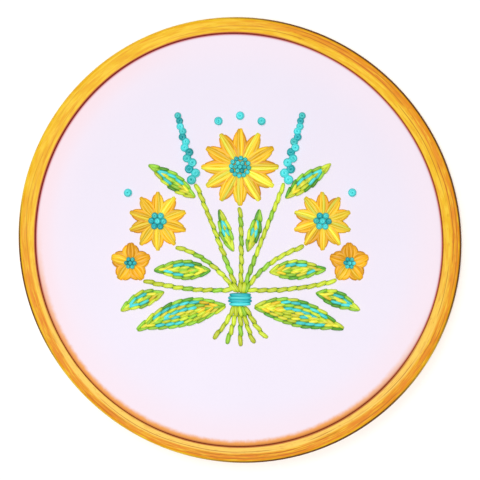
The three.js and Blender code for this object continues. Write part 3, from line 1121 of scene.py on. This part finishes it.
class HOOPART_OT_stretch_cloth(bpy.types.Operator):
    """Stretch the round of cotton over the inner ring and turn it down between the rings"""

    bl_idname = "hoop_art.stretch_cloth"
    bl_label = "Stretch the cloth"

    def execute(self, context):
        art = context.scene.hoop_art
        turn = art.cloth.turn
        roll_radius, roll_height = CLOTH_RADIUS - turn, CLOTH_FACE - turn
        disc = np.linspace(0, roll_radius, DISC_RINGS)[:-1]
        drop = np.linspace(roll_height, CLOTH_TRIM, FACE_STEPS)[1:]

        def side_of_cloth(inset):
            """From the middle over the turn to the trimmed edge, so far in from the cloth's face."""
            return np.concatenate((
                np.column_stack((disc, np.full_like(disc, CLOTH_FACE - inset))),
                corner(roll_radius, roll_height, turn - inset, 90, 0),
                np.column_stack((np.full_like(drop, CLOTH_RADIUS - inset), drop)),
            ))

        def slack(angles, radius, height):
            share = np.clip(radius / CLOTH_RADIUS, 0, 1)
            flat = waves(angles, CLOTH_WAVES) * share ** 3 * np.clip((height - roll_height) / turn, 0, 1)
            trim = np.clip((2 * CLOTH_TRIM - height) / CLOTH_TRIM, 0, 1) * waves(angles, RING_WAVES)
            held = np.clip((share - HELD_FROM) / (HELD_FULLY - HELD_FROM), 0, 1)
            return held * waves(angles, BORE_WAVES), flat * FACE_WAVE + trim * TRIM_WAVE

        profile = np.concatenate((side_of_cloth(0), side_of_cloth(art.cloth.thickness)[::-1]))
        mesh = closed_mesh("cloth", *turned(profile, art.hoop, slack, False))
        mesh.materials.append(cotton_material(art.cloth, bpy.data.node_groups["Place in the hoop"]))
        cloth = place_piece("cloth_stretched", mesh, "cotton", "cloth")
        return {"FINISHED"}


class HOOPART_OT_stitch_flowers(bpy.types.Operator):
    """Stitch the petals of the daisies and blossoms and knot their eyes"""

    bl_idname = "hoop_art.stitch_flowers"
    bl_label = "Stitch the flowers"

    def execute(self, context):
        sizes = context.scene.hoop_art.thread
        for name, kind in FLOWER_NODES.items():
            low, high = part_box(f"{name}_eye")
            centre, heart = (low + high) / 2, (high.x - low.x) / 2
            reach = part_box(f"{name}_petals")[1].y - centre.y
            self.petals(Stitchwork(f"{name}_petals", sizes), centre, heart, reach, FLOWERS[kind])
            self.eye(Stitchwork(f"{name}_eye", sizes), centre, heart, high.z)
        return {"FINISHED"}

    def petals(self, work, centre, heart, reach, flower):
        gap = flower["width"] * MM / PETAL_THREADS
        middle = (PETAL_THREADS - 1) / 2
        from_the_sides = sorted(range(PETAL_THREADS), key=lambda thread: -abs(thread - middle))
        origin = np.array((centre.x, centre.y))
        for petal in range(flower["petals"]):
            angle = petal / flower["petals"] * TURN + TURN / 4
            out = np.array((math.cos(angle), math.sin(angle)))
            for thread in from_the_sides:
                aside = (thread - middle) * gap
                inset = abs(thread - middle) / middle
                foot = heart * (PETAL_FOOT + PETAL_FOOT_STEP * inset)
                tip = reach - PETAL_TIP_DROP * heart * inset ** PETAL_TIP_POWER - PETAL_TIP_STEP * inset
                start = origin + out * foot + left_of(out) * aside * PETAL_FOOT_SPREAD
                end = origin + out * tip + left_of(out) * aside * PETAL_TIP_SPREAD
                colour = work.chance.choice(flower["side" if inset > 0.5 else "middle"])
                height = work.sizes.height * (1 - PETAL_CROWN * inset)
                bow = aside * PETAL_BOW
                work.stitch(start, end, colour, gap * PETAL_OVERLAP, height, bow, PETAL_TIP_SHADE)
        work.finish()

    def eye(self, work, centre, heart, top):
        rows = max(1, round(heart / EYE_KNOT / 2 - 0.5))
        size = EYE_FILL * heart / (2 * rows + 1)
        for row in range(rows, -1, -1):
            around = EYE_AROUND * row or 1
            ring = (heart - size * EYE_INSET) * row / rows
            rise = top - EYE_BASE - EYE_DOME * row / rows
            for number in range(around):
                angle = number / around * TURN + row
                x, y = centre.x + ring * math.cos(angle), centre.y + ring * math.sin(angle)
                colour = "teal" if work.chance.random() < EYE_DARK else "turquoise"
                work.knot(x, y, size, rise, colour, EYE_BASE, EYE_TURNS)
        work.finish()


class HOOPART_OT_stitch_leaves(bpy.types.Operator):
    """Stitch the outline and the lengthwise rows of each leaf"""

    bl_idname = "hoop_art.stitch_leaves"
    bl_label = "Stitch the leaves"

    def execute(self, context):
        sizes = context.scene.hoop_art.thread
        for name, leaf in LEAVES.items():
            for side, sign in SIDES.items():
                self.leaf(Stitchwork(f"{name}_{side}", sizes), leaf, sign)
        return {"FINISHED"}

    def leaf(self, work, leaf, sign):
        base, tip = np.array(leaf["base"], float), np.array(leaf["tip"], float)
        line = Line(base, (base + tip) / 2 + left_of(tip - base) * 2 * leaf["bow"], tip, sign)
        power = math.log(0.5) / math.log(LEAF_BELLY)
        widest = leaf["width"] * MM / 2

        def half(share):
            """Half the leaf's width at a share of its length."""
            full = math.sin(math.pi * min(max(share, 0), 1) ** power)
            return widest * max(LEAF_TIP_SHARE, full ** LEAF_FULLNESS)

        def row_at(edge, inset, least=-math.inf):
            """How far off the middle line a row lies that is so far in from that edge."""
            return lambda share: edge * max(half(share) - inset, least)

        def span(inset):
            """The part of the length where the leaf is wide enough for a row that far in."""
            room = [share for share in np.linspace(0, 1, LINE_STEPS) if half(share) > inset - LEAF_EASE]
            return (room[0], room[-1])

        def fill(low, high):
            """The colours of a row that is bright between two shares of the length."""
            def colours(share):
                if low < share < high:
                    return LEAF_BRIGHT
                return LEAF_FOOT if share < LEAF_FOOT_REACH else LEAF_FILL
            return colours

        rows = int((widest - LEAF_EDGE - LEAF_MIDDLE) / LEAF_ROW)
        for edge in (-1, 1):
            for row in range(rows + 1):
                inset = LEAF_EDGE + (row + 0.5) * LEAF_ROW
                if inset < widest:
                    work.padding(line, LEAF_THREAD, row_at(edge, inset), span(inset))
            for row in range(rows, 0, -1):
                inset = LEAF_EDGE + row * LEAF_ROW
                colours = fill(*LEAF_HIGHLIGHTS[edge * sign]) if row % 2 else fill(1, 1)
                work.stitches_along(line, colours, LEAF_THREAD, row_at(edge, inset), span(inset), LEAF_SLANT)
        work.stitches_along(line, always(LEAF_FILL), LEAF_THREAD, span=LEAF_MIDDLE_SPAN, slant=LEAF_SLANT)
        for edge in (-1, 1):
            outline = row_at(edge, LEAF_EDGE, 0)
            work.stitches_along(line, always(LEAF_OUTLINE), LEAF_THREAD, outline, slant=LEAF_SLANT)
        work.finish()


class HOOPART_OT_stitch_stems(bpy.types.Operator):
    """Stitch the stems, their tails and the band that ties them"""

    bl_idname = "hoop_art.stitch_stems"
    bl_label = "Stitch the stems"

    def execute(self, context):
        sizes = context.scene.hoop_art.thread
        for name, middle, sides in (("stems", MID_STEM, STEMS), ("stem_tails", MID_TAIL, TAILS)):
            work = Stitchwork(name, sizes)
            lines = [Line(**middle)]
            lines += [Line(**row, sign=sign) for sign in SIDES.values() for row in sides]
            for line in lines:
                work.padding(line, STEM_CORE, span=STEM_CORE_SPAN)
                work.stitches_along(line, always(STEM_COLOURS), sizes.width, slant=STEM_SLANT)
            work.finish()
        self.band(Stitchwork("tie_band", sizes))
        return {"FINISHED"}

    def band(self, work):
        low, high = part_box(work.name)
        step = (high.y - low.y) / BAND_WRAPS
        width, height = step * BAND_OVERLAP, work.sizes.height * BAND_HEIGHT
        for wrap in range(BAND_WRAPS):
            y = low.y + (wrap + 0.5) * step
            inset = BAND_INSET if wrap in (0, BAND_WRAPS - 1) else 0
            colour = "teal" if wrap % 2 else "turquoise"
            work.stitch((low.x + inset, y), (high.x - inset, y), colour, width, height)
        work.finish()


class HOOPART_OT_knot_spikes(bpy.types.Operator):
    """Knot the flower spikes and the single knots"""

    bl_idname = "hoop_art.knot_spikes"
    bl_label = "Knot the spikes"

    def execute(self, context):
        sizes = context.scene.hoop_art.thread
        for side, sign in SIDES.items():
            self.spike(Stitchwork(f"spike_{side}", sizes), sign)
        for name in DOTS:
            low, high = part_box(name)
            work = Stitchwork(name, sizes)
            centre = (low + high) / 2
            work.knot(centre.x, centre.y, (high.x - low.x) / 2, high.z - CLOTH_FACE, "turquoise")
            work.finish()
        return {"FINISHED"}

    def spike(self, work, sign):
        start, end = np.array(SPIKE["start"], float), np.array(SPIKE["end"], float)
        way = end - start
        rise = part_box(work.name)[1].z - CLOTH_FACE
        for number in range(SPIKE["knots"]):
            share = number / (SPIKE["knots"] - 1)
            swing = (1 if number % 2 else -1) * SPIKE["stagger"] * (1 - share)
            x, y = (start + way * share + left_of(way) * swing) * MM
            radius = (SPIKE["root"] + (SPIKE["tip"] - SPIKE["root"]) * share) * MM
            colour = "teal" if number % 3 == 2 else "turquoise"
            work.knot(sign * x, y, radius, rise, colour)
        work.finish()


class HOOPART_OT_carry_threads(bpy.types.Operator):
    """Carry the threads from stitch to stitch across the back of the cloth"""

    bl_idname = "hoop_art.carry_threads"
    bl_label = "Carry the threads"

    def execute(self, context):
        art = context.scene.hoop_art
        work = Stitchwork("reverse", art.thread)
        back = CLOTH_FACE - art.cloth.thickness
        for start, end, colour in CARRIED:
            work.stitch(start, end, colour, CARRIED_WIDTH, CARRIED_HEIGHT, base=back, out=-1)
        work.finish("green_thread")
        return {"FINISHED"}


class HOOPART_OT_set_stage(bpy.types.Operator):
    """Lay the floor, hang the lamps and set the camera above the hoop"""

    bl_idname = "hoop_art.set_stage"
    bl_label = "Set the stage"

    def execute(self, context):
        stage = context.scene.hoop_art.stage
        self.floor(stage)
        for name, lamp in LAMPS.items():
            self.lamp(name, Vector(lamp["place"]), lamp["size"], getattr(stage, name))
        self.surroundings(context, stage)
        context.scene.view_settings.view_transform = "Standard"
        self.camera(context, stage)
        return {"FINISHED"}

    def surroundings(self, context, stage):
        """Even light all round, and a pale backdrop where no floor lies."""
        world = bpy.data.worlds.new("studio")
        world.use_nodes = True
        tree = world.node_tree
        tree.nodes.remove(tree.nodes["Background"])
        sky, backdrop = (
            made(tree, "Background", 0, {"Color": WHITE, "Strength": strength})
            for strength in (stage.sky, stage.backdrop)
        )
        seen = made(tree, "LightPath", "Is Camera Ray")
        choice = made(tree, "MixShader", 0, {0: seen, 1: sky, 2: backdrop})
        feed(tree.nodes["World Output"].inputs["Surface"], choice)
        context.scene.world = world

    def floor(self, stage):
        mesh = bpy.data.meshes.new("floor")
        corners = [(x * FLOOR_REACH, y * FLOOR_REACH, 0) for x, y in ((-1, -1), (1, -1), (1, 1), (-1, 1))]
        mesh.from_pydata(corners, [], [(0, 1, 2, 3)])
        material, tree = new_material("pale_floor")
        mottle = noise(object_place(tree), FLOOR_MOTTLE)
        colour = tinted(stage.floor, [(mottle, dimmed(stage.floor, FLOOR_DIM))])
        dress(tree, {"Base Color": colour, "Roughness": 0.8})
        mesh.materials.append(material)
        floor = new_object("floor", mesh)

    def lamp(self, name, place, size, power):
        light = bpy.data.lights.new(name, "AREA")
        light.shape = "DISK"
        light.size = size
        light.energy = power
        lamp = new_object(name, light)
        lamp.location = place
        lamp.rotation_euler = (-place).to_track_quat("-Z", "Y").to_euler()

    def camera(self, context, stage):
        lens = bpy.data.cameras.new("camera")
        lens.lens = stage.lens
        lens.sensor_width = SENSOR
        camera = new_object("camera", lens)
        camera.location = (0, 0, HOOP_HEIGHT + stage.seen * stage.lens / SENSOR)
        context.scene.camera = camera


class HOOPART_PT_sidebar(bpy.types.Panel):
    """Lists the steps of the hoop and its sizes"""

    bl_idname = "HOOPART_PT_sidebar"
    bl_label = "Hoop art"
    bl_space_type = "VIEW_3D"
    bl_region_type = "UI"
    bl_category = "Hoop art"

    def draw(self, context):
        art = context.scene.hoop_art
        for step in STEPS:
            self.layout.operator(step.bl_idname)
        for group in (art.hoop, art.cloth, art.thread, art.stage):
            box = self.layout.box()
            for name in group.bl_rna.properties.keys():
                if name not in ("rna_type", "name"):
                    box.prop(group, name)


STEPS = (
    HOOPART_OT_set_stage,
    HOOPART_OT_bend_rings,
    HOOPART_OT_stretch_cloth,
    HOOPART_OT_stitch_flowers,
    HOOPART_OT_stitch_leaves,
    HOOPART_OT_stitch_stems,
    HOOPART_OT_knot_spikes,
    HOOPART_OT_carry_threads,
)
CLASSES = (HoopSizes, ClothSizes, ThreadSizes, StageSizes, HoopArt, *STEPS, HOOPART_PT_sidebar)


def register():
    for each in CLASSES:
        bpy.utils.register_class(each)
    bpy.types.Scene.hoop_art = PointerProperty(type=HoopArt)


def unregister():
    del bpy.types.Scene.hoop_art
    for each in reversed(CLASSES):
        bpy.utils.unregister_class(each)


def main():
    register()
    for step in STEPS:
        group, name = step.bl_idname.split(".")
        getattr(getattr(bpy.ops, group), name)()


if __name__ == "__main__":
    main()
